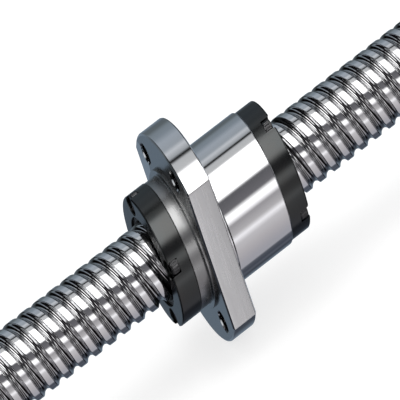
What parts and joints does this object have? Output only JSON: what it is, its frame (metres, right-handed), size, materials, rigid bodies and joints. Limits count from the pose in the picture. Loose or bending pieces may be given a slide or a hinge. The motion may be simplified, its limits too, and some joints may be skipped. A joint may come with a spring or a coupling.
{
  "type": "ball screw assembly",
  "caption": "High-lead ball screw: bright multi-start ball-groove shaft, flanged polished nut with flat-sided flange, dark end caps with ball returns, and the end support bearings.",
  "frame": {"origin": "on the screw axis, in the plane of the flange mounting face (the face on the long cylindrical side of the nut)", "axes": "+X along the screw axis towards the drive journal, +Z along the long axis of the flange, the two flange flats face +Y and -Y"},
  "size_m": [0.25, 0.0406, 0.055],
  "materials": {
    "nut_steel": "polished ground steel, satin on the flange",
    "screw_steel": "bright ground steel",
    "ball_steel": "mirror polished bearing steel",
    "ring_steel": "ground bearing steel",
    "cap_plastic": "black moulded plastic, slight sheen",
    "wiper": "dark low-friction plastic",
    "black_screws": "black oxide",
    "blackened_steel": "black oxide",
    "seal_rubber": "matt rubber",
    "cage_plastic": "amber moulded polyamide"
  },
  "bodies": {
    "support": {"fixed_outer_ring_1": "ring_steel", "fixed_outer_ring_2": "ring_steel", "fixed_seals": "seal_rubber", "float_outer_ring": "ring_steel", "float_seals": "seal_rubber"},
    "screw": {"screw_shaft": "screw_steel", "fixed_inner_ring_1": "ring_steel", "fixed_inner_ring_2": "ring_steel", "clamp_spacer": "ring_steel", "locknut": "blackened_steel", "locknut_set_screws": "black_screws", "float_inner_ring": "ring_steel", "retaining_ring": "blackened_steel"},
    "nut": {"nut_body": "nut_steel", "near_end_cap": "cap_plastic", "far_end_cap": "cap_plastic", "near_wiper": "wiper", "far_wiper": "wiper", "near_cap_screws": "black_screws", "far_cap_screws": "black_screws", "load_balls": "ball_steel", "return_balls": "ball_steel"},
    "fixed_ball_set": {"fixed_bearing_balls": "ball_steel", "fixed_cages": "cage_plastic"},
    "float_ball_set": {"float_bearing_balls": "ball_steel", "float_cage": "cage_plastic"}
  },
  "joints": [
    {"name": "screw_spin", "type": "hinge", "parent": "support", "child": "screw", "pos_m": [0, 0, 0], "axis": [1, 0, 0], "range_deg": [-900, 900]},
    {"name": "nut_travel", "type": "slide", "parent": "support", "child": "nut", "axis": [1, 0, 0], "range_m": [-0.05, 0.05]},
    {"name": "fixed_cage_spin", "type": "hinge", "parent": "support", "child": "fixed_ball_set", "pos_m": [0.1065, 0, 0], "axis": [1, 0, 0], "range_deg": [-364, 364]},
    {"name": "float_cage_spin", "type": "hinge", "parent": "support", "child": "float_ball_set", "pos_m": [-0.092, 0, 0], "axis": [1, 0, 0], "range_deg": [-341, 341]}
  ],
  "couplings": [
    {"joint": "nut_travel", "follows": "screw_spin", "m_per_rad": -0.0031831},
    {"joint": "fixed_cage_spin", "follows": "screw_spin", "ratio": 0.4034},
    {"joint": "float_cage_spin", "follows": "screw_spin", "ratio": 0.3778}
  ]
}
